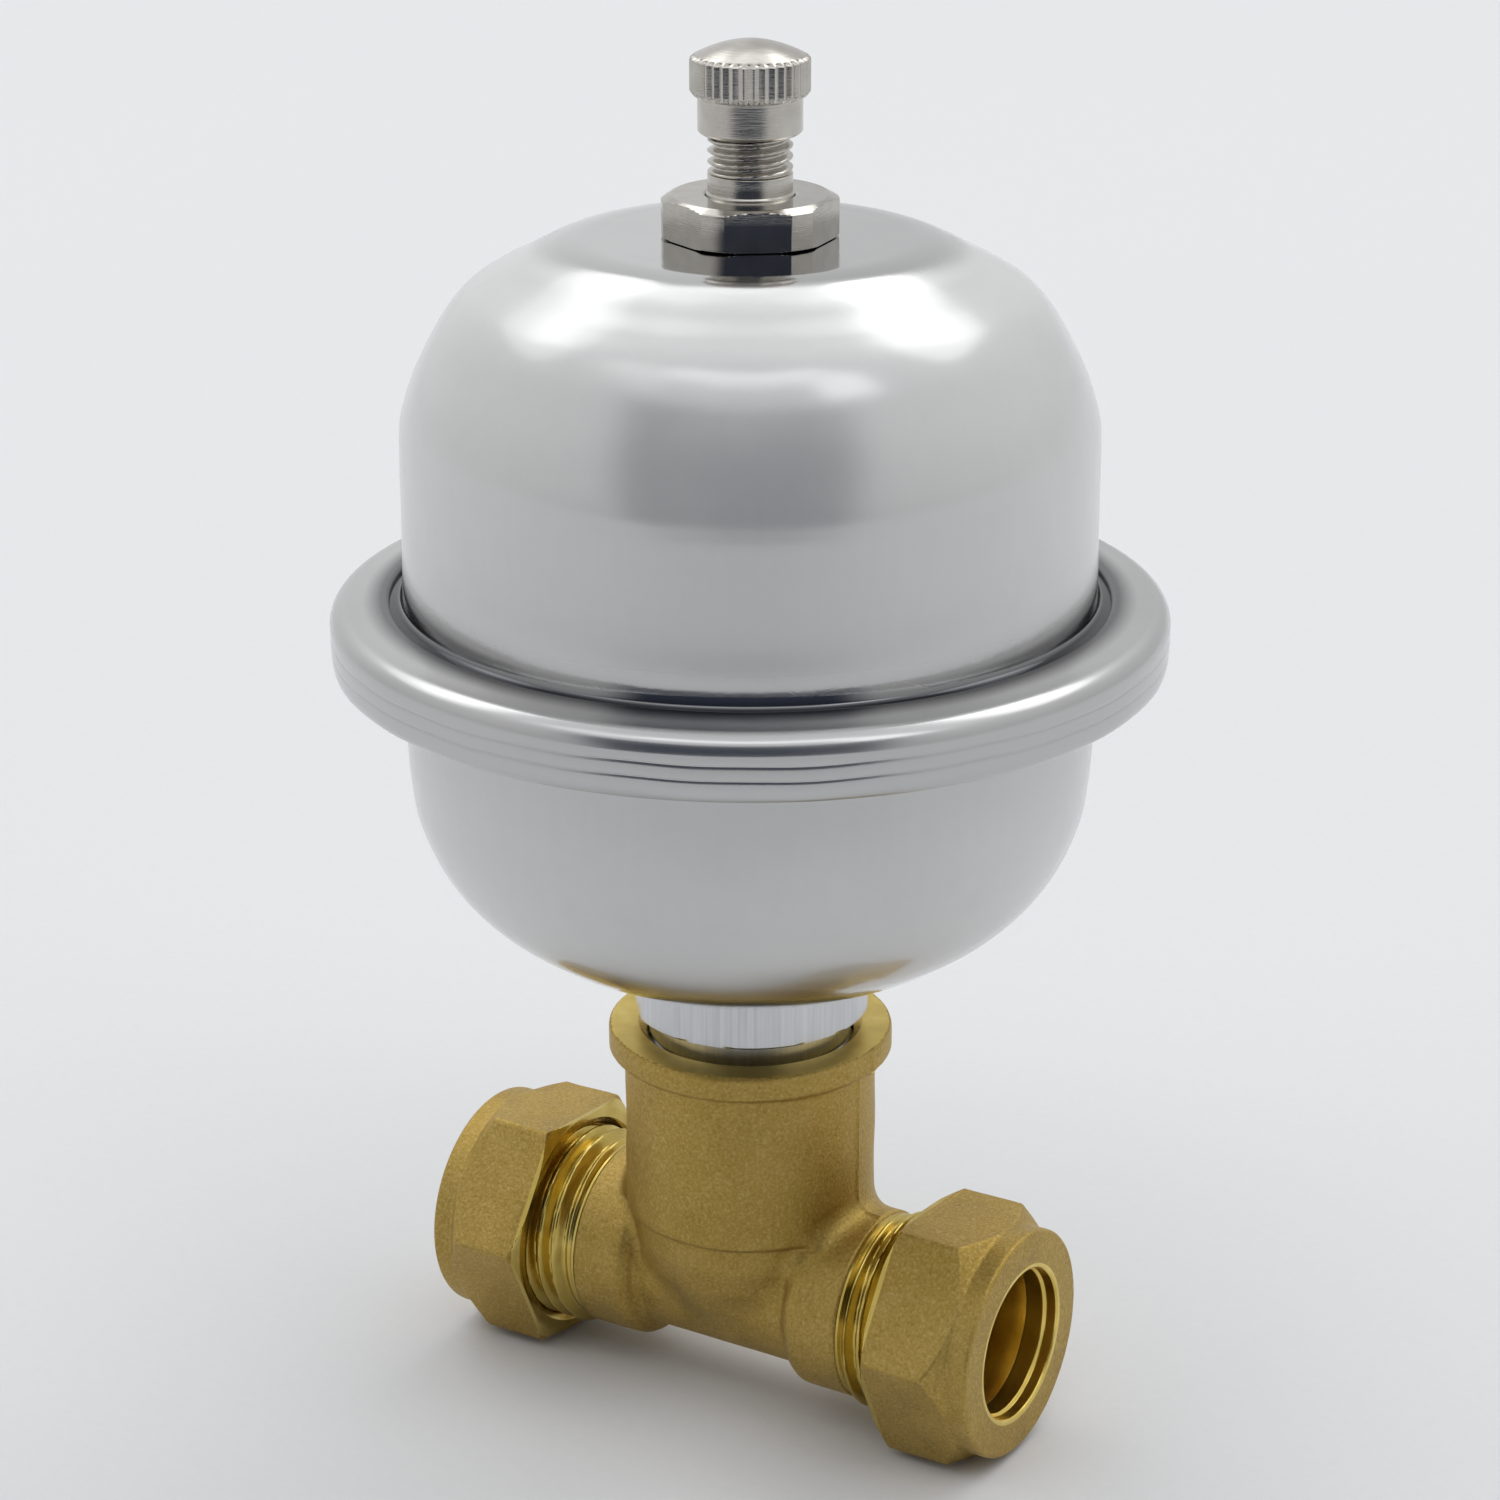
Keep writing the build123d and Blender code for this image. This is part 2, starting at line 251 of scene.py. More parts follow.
def fix_normals(ob):
    """Outward normals, by the sign of the mesh's volume."""
    me = ob.data
    me.calc_loop_triangles()
    co = np.zeros(len(me.vertices) * 3)
    me.vertices.foreach_get("co", co)
    co = co.reshape(-1, 3)
    tri = np.zeros(len(me.loop_triangles) * 3, np.int32)
    me.loop_triangles.foreach_get("vertices", tri)
    t = co[tri.reshape(-1, 3)]
    vol = np.einsum("ij,ij->i", t[:, 0], np.cross(t[:, 1], t[:, 2])).sum()
    if vol < 0:
        me.flip_normals()
        me.update()


def hex_radius(th, apothem, turn_deg, rho):
    """Polar radius of a hexagon with corners rounded by rho, first corner at turn_deg."""
    ph = (th - math.radians(turn_deg) + math.pi / 6) % (math.pi / 3) - math.pi / 6  # angle from the nearest corner
    d = (apothem - rho) / math.cos(math.pi / 6)
    flat = apothem / np.cos(math.pi / 6 - np.abs(ph))
    ft = math.atan2(rho * 0.5, d + rho * math.cos(math.pi / 6))
    inside = np.clip(rho * rho - (d * np.sin(ph)) ** 2, 0, None)
    corner = d * np.cos(ph) + np.sqrt(inside)
    return np.where(np.abs(ph) < ft, corner, flat)


def smin(a, b, k):
    h = np.clip(0.5 + 0.5 * (b - a) / k, 0, 1)
    return b * (1 - h) + a * h - k * h * (1 - h)


def thread_form(u, depth):
    """Depth below the crest of a rounded V thread at phase u (turns), crest at 0."""
    v = np.abs((u + 0.5) % 1.0 - 0.5) * 2  # 0 crest, 1 root
    flank = np.clip((v - 0.13) / (1 - 0.26), 0, 1)
    return depth * (flank * flank * (3 - 2 * flank) * 0.35 + flank * 0.65)


# ---------------------------------------------------------------------------
# materials
# ---------------------------------------------------------------------------
class Nodes:
    def __init__(self, name):
        self.mat = bpy.data.materials.new(name)
        self.mat.use_nodes = True
        self.t = self.mat.node_tree
        self.t.nodes.clear()
        self.out = self.t.nodes.new("ShaderNodeOutputMaterial")
        self.bsdf = self.t.nodes.new("ShaderNodeBsdfPrincipled")
        self.t.links.new(self.bsdf.outputs[0], self.out.inputs[0])
        self.co = self.t.nodes.new("ShaderNodeTexCoord")

    def n(self, kind, **inputs):
        node = self.t.nodes.new("ShaderNode" + kind)
        for k, v in inputs.items():
            if k in ("op", "blend", "kind", "feature"):
                if k == "op":
                    node.operation = v
                elif k == "blend":
                    node.blend_type = v
                elif k == "feature":
                    node.feature = v
            else:
                self.put(node, k.replace("_", " "), v)
        return node

    def put(self, node, key, v):
        s = node.inputs[int(key)] if key.isdigit() else node.inputs[key]
        if isinstance(v, bpy.types.NodeSocket):
            self.t.links.new(v, s)
        else:
            s.default_value = v

    def link(self, a, b):
        self.t.links.new(a, b)

    def coords(self, scale=(1, 1, 1), loc=(0, 0, 0)):
        m = self.t.nodes.new("ShaderNodeMapping")
        m.inputs["Scale"].default_value = scale
        m.inputs["Location"].default_value = loc
        self.link(self.co.outputs["Object"], m.inputs["Vector"])
        return m.outputs[0]

    def noise(self, vec, scale, detail=3.0, rough=0.5, dist=0.0):
        x = self.n("TexNoise", Vector=vec, Scale=scale, Detail=detail, Roughness=rough, Distortion=dist)
        return x.outputs[0]

    def ramp(self, fac, stops):
        r = self.t.nodes.new("ShaderNodeValToRGB")
        e = r.color_ramp.elements
        while len(e) < len(stops):
            e.new(0.5)
        for el, (p, c) in zip(e, stops):
            el.position = p
            el.color = c if len(c) == 4 else (*c, 1)
        self.link(fac, r.inputs[0])
        return r.outputs[0]

    def math(self, op, a, b=0.0, c=0.0):
        m = self.t.nodes.new("ShaderNodeMath")
        m.operation = op
        for i, v in enumerate((a, b, c)):
            if isinstance(v, bpy.types.NodeSocket):
                self.link(v, m.inputs[i])
            else:
                m.inputs[i].default_value = v
        return m.outputs[0]

    def mix(self, fac, a, b):
        m = self.t.nodes.new("ShaderNodeMix")
        m.data_type = "RGBA"
        for key, v in ((0, fac), (6, a), (7, b)):
            if isinstance(v, bpy.types.NodeSocket):
                self.link(v, m.inputs[key])
            else:
                m.inputs[key].default_value = v if key == 0 or len(v) == 4 else (*v, 1)
        return m.outputs[2]

    def remap(self, v, lo, hi, frm=0.0, to=1.0):
        m = self.t.nodes.new("ShaderNodeMapRange")
        m.clamp = True
        self.link(v, m.inputs[0])
        for i, x in zip((1, 2, 3, 4), (frm, to, lo, hi)):
            m.inputs[i].default_value = x
        return m.outputs[0]

    def bump(self, height, dist, strength=1.0, normal=None):
        b = self.t.nodes.new("ShaderNodeBump")
        b.inputs["Distance"].default_value = dist
        b.inputs["Strength"].default_value = strength
        self.link(height, b.inputs["Height"])
        if normal is not None:
            self.link(normal, b.inputs["Normal"])
        return b.outputs[0]

    def finish(self, color=None, rough=None, metallic=None, normal=None, **more):
        for key, v in (("Base Color", color), ("Roughness", rough), ("Metallic", metallic), ("Normal", normal)):
            if v is None:
                continue
            if isinstance(v, bpy.types.NodeSocket):
                self.link(v, self.bsdf.inputs[key])
            else:
                self.bsdf.inputs[key].default_value = v if not isinstance(v, tuple) or len(v) == 4 else (*v, 1)
        for k, v in more.items():
            self.bsdf.inputs[k.replace("_", " ")].default_value = v
        return self.mat


def forged_brass():
    m = Nodes("forged_brass")
    v = m.coords()
    grain = m.noise(v, 3200, 4, 0.62)
    fine = m.noise(v, 9000, 2, 0.5)
    blotch = m.noise(v, 220, 4, 0.6, 0.4)
    wide = m.noise(v, 60, 3, 0.5)
    base = m.ramp(blotch, [(0.30, (0.345, 0.228, 0.05)), (0.55, (0.452, 0.308, 0.077)), (0.78, (0.555, 0.397, 0.135))])
    tone = m.ramp(wide, [(0.35, (0.395, 0.26, 0.058)), (0.65, (0.51, 0.364, 0.114))])
    base = m.mix(0.45, base, tone)
    speck = m.remap(grain, 0.0, 1.0, 0.50, 0.72)
    base = m.mix(m.math("MULTIPLY", speck, 0.55), base, (0.68, 0.52, 0.22))
    dark = m.remap(grain, 1.0, 0.0, 0.28, 0.45)
    base = m.mix(m.math("MULTIPLY", dark, 0.5), base, (0.17, 0.105, 0.022))
    rough = m.remap(blotch, 0.42, 0.56, 0.3, 0.7)
    h = m.math("ADD", m.math("MULTIPLY", grain, 0.7), m.math("MULTIPLY", fine, 0.3))
    b1 = m.bump(h, 0.00011, 0.9)
    b2 = m.bump(blotch, 0.00025, 0.35, b1)
    return m.finish(base, rough, 1.0, b2)


def machined_brass(axis="x", low=0.16, high=0.27, tone=1.0):
    m = Nodes("machined_brass_" + axis)
    v = m.coords({"x": (1, 0.02, 0.02), "z": (0.02, 0.02, 1)}.get(axis, (1, 1, 1)))
    lines = m.noise(v, 9000, 3, 0.55)
    spot = m.noise(m.coords(), 300, 4, 0.55)
    stops = [(0.3, (0.50, 0.365, 0.085)), (0.6, (0.60, 0.455, 0.125)), (0.85, (0.70, 0.56, 0.20))]
    base = m.ramp(spot, [(q, tuple(v * tone for v in c)) for q, c in stops])
    rough = m.remap(spot, low, high)
    return m.finish(base, rough, 1.0, m.bump(lines, 0.00003, 0.4))


def stainless(name="stainless_sheet", base_rough=0.80, coat_rough=0.07, tint=0.68, coat_ior=2.75, polished=True, wave=0.10):
    """Satin sheet: a broad metal lobe under a sharper one, with streaks, clouds and sparse scratches, and painted
    shade in the crease against the ring.
    """
    m = Nodes(name)
    v = m.coords((1, 1, 0.12))
    streak = m.noise(v, 900, 4, 0.6)
    v2 = m.coords()
    cloud = m.noise(v2, 55, 4, 0.55, 0.3)
    fine = m.noise(v2, 2600, 2, 0.5)
    lo, hi = tint * 0.935, tint * 1.05
    base = m.ramp(cloud, [(0.30, (lo, lo * 0.997, lo * 0.985)), (0.52, (tint, tint * 0.997, tint * 0.982)), (0.75, (hi, hi * 0.996, hi * 0.98))])
    rough = m.math("ADD", m.remap(cloud, base_rough - 0.04, base_rough + 0.04, 0.3, 0.7), m.math("MULTIPLY", m.remap(streak, 0, 1, 0.35, 0.7), 0.02))
    if polished:
        # the drawing dies left both ends and the foot of the upper wall nearly bright
        sep = m.t.nodes.new("ShaderNodeSeparateXYZ")
        m.link(m.co.outputs["Object"], sep.inputs[0])
        z = m.math("MULTIPLY_ADD", sep.outputs[2], 1000.0, -ZR)
        satin = m.math("MULTIPLY", m.remap(z, 0.0, 1.0, 39.5, 51.0), m.remap(z, 1.0, 0.0, 108.6, 110.4))
        foot = m.math("MULTIPLY", m.remap(z, 0.0, 1.0, 73.0, 73.5), m.remap(z, 1.0, 0.0, 77.0, 81.0))
        satin = m.math("MULTIPLY", satin, m.math("SUBTRACT", 1.0, foot))
        rough = m.math("MULTIPLY", rough, m.remap(satin, 0.12, 1.0))
        base = m.mix(m.remap(satin, 0.46, 0.0), base, (0.02, 0.02, 0.022))
        # painted shade at the foot of the upper wall against the ring, darkest in a band at its corner
        painted_crease_shade = m.math("MULTIPLY", m.remap(z, 0.0, 1.0, 72.5, 73.0), m.remap(z, 1.0, 0.0, 75.0, 76.4))
        corner = m.math("MULTIPLY", painted_crease_shade, m.remap(z, 1.0, 0.0, 74.95, 75.35))
    else:
        # painted shade in the crease against the shell: a darker base and a weaker coat towards the inner lip
        sep = m.t.nodes.new("ShaderNodeSeparateXYZ")
        m.link(m.co.outputs["Object"], sep.inputs[0])
        rr = m.math("SQRT", m.math("ADD", m.math("MULTIPLY", sep.outputs[0], sep.outputs[0]), m.math("MULTIPLY", sep.outputs[1], sep.outputs[1])))
        z = m.math("MULTIPLY_ADD", sep.outputs[2], 1000.0, -ZR)
        painted_crease_shade = m.math("MULTIPLY", m.remap(m.math("MULTIPLY", rr, 1000.0), 1.0, 0.0, 36.4, 38.2), m.remap(z, 0.0, 1.0, 73.0, 74.0))
        satin = None
        corner = m.math("MULTIPLY", painted_crease_shade, 0.0)
    # the painted shade darkens the base and weakens the coat in the crease and at its corner
    base = m.mix(m.math("MULTIPLY_ADD", corner, 0.14, m.math("MULTIPLY", painted_crease_shade, 0.84)), base, (0.015, 0.016, 0.022))
    m.link(m.math("SUBTRACT", 1.0, m.math("MULTIPLY_ADD", corner, 0.3, m.math("MULTIPLY", painted_crease_shade, 0.62))), m.bsdf.inputs["Coat Weight"])
    vor = m.t.nodes.new("ShaderNodeTexVoronoi")
    vor.feature = "DISTANCE_TO_EDGE"
    vor.inputs["Scale"].default_value = 130
    m.link(m.coords((1, 0.35, 1.6), (0.3, 0.1, 0.2)), vor.inputs["Vector"])
    scratch = m.remap(vor.outputs["Distance"], 1.0, 0.0, 0.0, 0.010)
    gate = m.remap(m.noise(v2, 140, 2), 0.0, 1.0, 0.60, 0.66)
    scratch = m.math("MULTIPLY", scratch, gate)
    h = m.math("SUBTRACT", m.math("MULTIPLY", fine, 0.25), m.math("MULTIPLY", scratch, 0.12))
    b = m.bump(h, 0.00002, 0.5)
    b = m.bump(cloud, 0.0006, wave, b)
    coat = m.remap(cloud, coat_rough * 0.85, coat_rough * 1.3, 0.3, 0.7)
    if satin is not None:
        coat = m.math("MULTIPLY", coat, m.remap(satin, 1.7, 2.4))
    m.link(coat, m.bsdf.inputs["Coat Roughness"])
    m.link(b, m.bsdf.inputs["Coat Normal"])
    return m.finish(base, rough, 1.0, b, Coat_IOR=coat_ior)


def nickel(name="nickel_plate", low=0.07, high=0.15, groove=0.45, tone=1.0):
    m = Nodes(name)
    v = m.coords((0.03, 0.03, 1))
    lines = m.noise(v, 12000, 3, 0.6)
    v2 = m.coords()
    spot = m.noise(v2, 350, 4, 0.6)
    stops = [(0.3, (0.41, 0.39, 0.355)), (0.6, (0.475, 0.455, 0.415)), (0.8, (0.53, 0.51, 0.47))]
    base = m.ramp(spot, [(q, tuple(v * tone for v in c)) for q, c in stops])
    rough = m.math("ADD", m.remap(spot, low, high), m.math("MULTIPLY", lines, 0.05))
    return m.finish(base, rough, 1.0, m.bump(lines, 0.00002, groove))


def bright_alloy():
    m = Nodes("bright_alloy")
    v = m.coords((1, 1, 0.015))
    lines = m.noise(v, 2600, 4, 0.65)
    v2 = m.coords()
    spot = m.noise(v2, 420, 3, 0.6)
    base = m.ramp(lines, [(0.30, (0.53, 0.535, 0.555)), (0.5, (0.60, 0.605, 0.62)), (0.7, (0.66, 0.665, 0.675))])
    rough = m.remap(spot, 0.26, 0.38)
    return m.finish(base, rough, 1.0, m.bump(lines, 0.00008, 0.5))


def rubber(name="black_rubber", tint=(0.028, 0.028, 0.03)):
    m = Nodes(name)
    v = m.coords()
    g = m.noise(v, 2500, 3, 0.6)
    w = m.noise(v, 90, 3, 0.5)
    base = m.mix(w, tint, tuple(min(1, c * 1.9) for c in tint))
    return m.finish(base, m.remap(g, 0.55, 0.72), 0.0, m.bump(g, 0.00006, 0.5))


def ptfe():
    m = Nodes("white_ptfe")
    v = m.coords((1, 1, 6))
    g = m.noise(v, 900, 3, 0.6)
    base = m.mix(g, (0.78, 0.78, 0.76), (0.90, 0.90, 0.88))
    return m.finish(base, m.remap(g, 0.45, 0.6), 0.0, m.bump(g, 0.00005, 0.5))


def wire():
    m = Nodes("spring_steel")
    v = m.coords()
    g = m.noise(v, 1500, 3, 0.6)
    base = m.mix(g, (0.45, 0.45, 0.45), (0.62, 0.62, 0.61))
    return m.finish(base, m.remap(g, 0.2, 0.35), 1.0, m.bump(g, 0.00002, 0.4))


FORGED = forged_brass()
BRASS_X = machined_brass("x")
BRASS_Z = machined_brass("z")
FACED = machined_brass("face", 0.30, 0.44, 1.40)
BORE = machined_brass("bore", 0.20, 0.30, 1.36)
STEEL = stainless()
RING = stainless("stainless_rolled", 0.36, 0.15, 0.35, 3.0, False, 0.03)
NICKEL = nickel()
TURNED = nickel("nickel_plate_turned", 0.14, 0.23, 0.75, 1.12)
ALLOY = bright_alloy()
RUBBER = rubber()
PTFE = ptfe()
WIRE = wire()


# ---------------------------------------------------------------------------
# tee: a smooth union of the branch and the run, in millimetres from the run's axis
# ---------------------------------------------------------------------------
def poly_sdf(px, py, poly):
    """Signed distance to a closed 2-D polygon, negative inside."""
    P = np.array(poly, float)
    Q = np.roll(P, -1, 0)
    best = np.full(px.shape, 1e18)
    wind = np.zeros(px.shape, bool)
    for (ax, ay), (bx, by) in zip(P, Q):
        dx, dy = bx - ax, by - ay
        t = np.clip(((px - ax) * dx + (py - ay) * dy) / (dx * dx + dy * dy), 0, 1)
        best = np.minimum(best, (px - ax - t * dx) ** 2 + (py - ay - t * dy) ** 2)
        cross = (ay > py) != (by > py)
        with np.errstate(divide="ignore", invalid="ignore"):
            wind ^= cross & (px < (bx - ax) * (py - ay) / (by - ay if by != ay else 1e-12) + ax)
    d = np.sqrt(best)
    return np.where(wind, -d, d)


BRANCH = [
    (-6, -7.2), (0, -7.2), (2.4, -6.9), (4.2, -6.1), (6.6, -4.1), (9.2, -1.0), (10.9, 2.0), (11.9, 5.0), (12.36, 7.95),
    (12.42, 8.12), (12.86, 8.45), (12.9, 8.8), (12.9, 24.95), (13.1, 25.35), (14.1, 25.72), (14.55, 26.1),
    (14.56, 28.38), (14.36, 28.6), (0, 28.6), (-6, 28.6),
]
RUN = [
    (0, -6), (0, 8.3), (8.7, 8.3), (9.25, 8.75), (9.7, 9.45), (10.4, 9.85), (11.0, 9.9),
    (15.75, 9.9), (16.0, 9.65), (16.0, -6),
]


def tee_field(p):
    x, y, z = p[:, 0], p[:, 1], p[:, 2]
    rb = np.hypot(x, y)
    rr = np.hypot(y, z)
    fb = poly_sdf(rb, z, BRANCH)
    fr = poly_sdf(np.abs(x), rr, RUN)
    k = np.clip(0.95 + 0.11 * (z + 2), 0.8, 2.2)
    f = smin(fb, fr, k)
    # forging flash left along the parting line on the outer side of the branch
    side = 1 / (1 + np.exp(-(x - 6) * 2.5))
    line = np.exp(-((y - 0.1) / 0.22) ** 2) * 0.11 + 0.09 / (1 + np.exp(-(y) / 0.16)) - 0.045
    f = f - side * line * np.clip((z - 6) / 4, 0, 1) * np.clip((28.35 - z) / 0.5, 0, 1)
    # slight unevenness of the forging
    f = f - 0.045 * (np.sin(x * 0.83 + 1.3) * np.sin(y * 0.71 + 0.4) * np.sin(z * 0.67 + 2.1)) * np.clip((27.5 - z) / 3, 0, 1)
    return f


def modified(ob, *mods):
    """The object's mesh with the given modifiers applied in turn."""
    for kind, setup in mods:
        m = ob.modifiers.new(kind, kind)
        setup(m)
    dg = bpy.context.evaluated_depsgraph_get()
    me = bpy.data.meshes.new_from_object(ob.evaluated_get(dg))
    ob.modifiers.clear()
    old = ob.data
    ob.data = me
    bpy.data.meshes.remove(old)
    return ob


def joined(obs):
    """One object from several, without operators."""
    V, F, base = [], [], 0
    for o in obs:
        co = np.zeros(len(o.data.vertices) * 3, np.float32)
        o.data.vertices.foreach_get("co", co)
        V.append(co.reshape(-1, 3))
        F += [[v + base for v in p.vertices] for p in o.data.polygons]
        base += len(o.data.vertices)
        me = o.data
        bpy.data.objects.remove(o)
        bpy.data.meshes.remove(me)
    return new_object("joined", np.concatenate(V) / MM, F, [])


def coords_of(ob):
    co = np.zeros(len(ob.data.vertices) * 3)
    ob.data.vertices.foreach_get("co", co)
    return co.reshape(-1, 3)


def build_tee():
    b = lathe("b", [(0, -7.2), (4.2, -6.1), (9.2, -1.0), (11.9, 5.0), (12.4, 8.1), (12.9, 8.6), (12.9, 25.0), (14.43, 26.0), (14.43, 28.6), (0, 28.6)], [], turns=160)
    r = lathe("r", [(0, -16.0), (9.9, -16.0), (9.9, -10.6), (8.3, -8.7), (8.3, 8.7), (9.9, 10.6), (9.9, 16.0), (0, 16.0)], [], axis="x", turns=160)
    tee = joined([b, r])
    size = 0.00024

    def vox(m):
        m.mode = "VOXEL"
        m.voxel_size = size
        m.adaptivity = 0.0

    modified(tee, ("REMESH", vox))
    p = coords_of(tee) / MM
    p[:, 2] -= ZR
    e = 0.02
    for _ in range(5):
        f = tee_field(p)
        g = np.stack([(tee_field(p + np.eye(3)[i] * e) - tee_field(p - np.eye(3)[i] * e)) / (2 * e) for i in range(3)], 1)
        gg = np.maximum((g * g).sum(1), 0.2)
        step = (f / gg)[:, None] * g
        length = np.linalg.norm(step, axis=1)[:, None]
        p -= step * np.minimum(1, 0.6 / np.maximum(length, 1e-9))
    p[:, 2] += ZR
    tee.data.vertices.foreach_set("co", (p * MM).astype(np.float32).ravel())
    tee.data.update()

    bore_r, lip = 10.62, 27.75

    def mouth(R, A, T):
        u = A / 1.814 - T / TAU
        w = np.clip((A - 20.5) / 0.6, 0, 1) * np.clip((lip + 0.05 - A) / 0.3, 0, 1) * (np.abs(R - bore_r) < 0.05)
        return R + w * (0.62 - thread_form(u + 0.5, 0.62)) * 0.85, A

    z_cut = [(0, -0.5), (6.3, -0.5), (6.3, 12.0), (bore_r, 14.0), (bore_r, 20.4)]
    z_cut += [(bore_r, 20.5 + k * 0.11) for k in range(int((lip - 20.5) / 0.11) + 1)] + [(bore_r, lip + 0.05), (11.3, 28.35), (11.42, 28.5), (11.6, 28.65), (11.6, 30.0), (0, 30.0)]
    cut_z = lathe("cut_z", z_cut, [], turns=192, shape=mouth)
    cut_x = lathe("cut_x", [(0, -11.0), (6.3, -11.0), (6.3, 11.0), (0, 11.0)], [], axis="x", turns=128)
    cut_r = lathe("cut_r", [(0, 10.0), (7.6, 10.0), (7.6, 17.0), (0, 17.0)], [], axis="x", turns=128)
    cut_l = lathe("cut_l", [(0, 10.0), (7.6, 10.0), (7.6, 17.0), (0, 17.0)], [], axis="x", turns=128, flip=True)

    def cut(c):
        def setup(m):
            m.operation = "DIFFERENCE"
            m.object = c
            m.solver = "MANIFOLD"

        return ("BOOLEAN", setup)

    n0 = len(tee.data.polygons)
    modified(tee, cut(cut_z), cut(cut_x), cut(cut_r), cut(cut_l))
    for c in (cut_z, cut_x, cut_r, cut_l):
        me = c.data
        bpy.data.objects.remove(c)
        bpy.data.meshes.remove(me)
    print("tee faces", n0, len(tee.data.polygons))
    me = tee.data
    me.materials.clear()
    for m in (FORGED, BORE, FACED):
        me.materials.append(m)
    c = np.zeros(len(me.polygons) * 3)
    me.polygons.foreach_get("center", c)
    c = c.reshape(-1, 3) / MM
    c[:, 2] -= ZR
    f = tee_field(c)
    index = (f < -0.05).astype(np.int32)
    index[(c[:, 2] > 28.5) & (np.hypot(c[:, 0], c[:, 1]) < 14.3)] = 2
    me.polygons.foreach_set("material_index", index)
    me.polygons.foreach_set("use_smooth", np.ones(len(me.polygons), bool))
    me.set_sharp_from_angle(angle=math.radians(38))
    me.name = "tee_body_mesh"
    tee.name = "tee_forging"
    return tee


# ---------------------------------------------------------------------------
# threads and compression ends
# ---------------------------------------------------------------------------
G_PITCH, G_CREST, G_DEPTH = 1.814, 10.45, 1.02


def fade(v, lo, hi, w):
    return np.clip((v - lo) / w, 0, 1) * np.clip((hi - v) / w, 0, 1)


def rows(r, a0, a1, step):
    n = max(1, int(round(abs(a1 - a0) / step)))
    return [(r, a0 + (a1 - a0) * k / n) for k in range(n + 1)]


def thread_sleeve(name, flip):
    outline = (
        [(7.6, 16.0), (9.7, 16.0), (9.7, 16.25), (G_CREST - G_DEPTH, 16.5)]
        + rows(G_CREST, 16.55, 23.05, 0.075)
        + [(G_CREST - 0.1, 23.12), (G_CREST - 0.62, 23.52), (9.7, 23.6), (8.85, 23.6), (8.75, 23.54), (7.66, 22.45), (7.6, 22.35)]
    )

    def shape(R, A, T):
        on = np.abs(R - G_CREST) < 0.02
        u = A / G_PITCH - T / TAU
        d = thread_form(u, G_DEPTH)
        ends = np.clip((A - 16.5) / 0.9, 0, 1)
        d = G_DEPTH + (d - G_DEPTH) * ends  # cut fully down where the thread runs out at the forging
        return np.where(on, R - d, R), A

    return lathe(name, outline, [BRASS_X], axis="x", turns=240, shape=shape, flip=flip, sharp=40)


NUT_AP = 12.0


def nut(name, start, turn, flip):
    s = start
    corner = 13.86
    outer = [
        (11.25, 0.0, 0.08), (12.2, 0.0, 0.10), (12.45, 0.06, 0.1), (13.92, 0.80, 0.3), (corner + 0.06, 7.35, 0.5), (11.95, 9.25, 0.7), (11.95, 11.7, 0.42),
        (8.1, 11.7, 0.12), (7.92, 11.5, 0.1), (7.9, 10.45, 0.1), (7.6, 10.2, 0.1),
    ]
    seat = 28.0 - 20.6
    inner = [(7.6, 8.38, 0.02), (9.4, seat - 0.4, 0.1), (9.4, seat - 1.5, 0.1), (G_CREST + 0.07, seat - 1.55, 0.02)]
    n_in = [(G_CREST + 0.07, 0.62, 0.02)]
    path = rounded(outer + inner + n_in, 0.1, 4)
    # finer rows along the hexagon, its cone and the thread
    path = subdivide(path, 0.16)
    path = [(r, a + s) for r, a in path]

    def shape(R, A, T):
        hx = hex_radius(T, NUT_AP, turn, 0.4)
        wobble = 0.05 * np.sin(3 * T + 0.7) * np.sin((A - s) * 0.8)  # forged faces are not quite flat
        outerish = R > 11.2
        Rh = smin(hx + wobble, R, 0.14)
        Rn = np.where(outerish & (A - s < 9.6) & (A - s > 0.02), np.where(R > 11.95, Rh, R), R)
        # the tee-side face is turned: keep it flat and crisp
        crisp = np.minimum(hx, R)
        Rn = np.where(outerish & (A - s < 0.9), np.where(A - s < 0.3, crisp, smin(hx, R, 0.08)), Rn)
        u = A / G_PITCH - T / TAU
        on = np.abs(R - (G_CREST + 0.07)) < 0.02
        ends = np.clip((A - s - 0.6) / 0.5, 0, 1) * np.clip((seat - 1.6 + s - A) / 0.4, 0, 1)
        Rn = np.where(on, R - thread_form(u, G_DEPTH * 0.86) * ends, Rn)
        # the lowest corner rests on the floor
        down = np.maximum(-np.sin(T), 0.5)
        return np.minimum(Rn, (ZR - 0.003) / down), A

    def mat_of(r, a):
        a -= s
        if r < 8.5:
            return 2
        if r < 11.3 and a < 11.6:
            return 1
        if a < 0.5:
            return 1
        return 0

    return lathe(name, path, [FORGED, BRASS_X, BORE], axis="x", turns=432, shape=shape, mat_of=mat_of, flip=flip, sharp=28)


def olive(name, flip):
    out = rounded([(7.6, 22.9), (7.95, 22.9), (8.65, 24.1), (8.65, 27.5), (7.8, 28.75), (7.6, 28.9)], 0.03, 3)
    return lathe(name, out, [BORE], axis="x", turns=128, flip=flip)


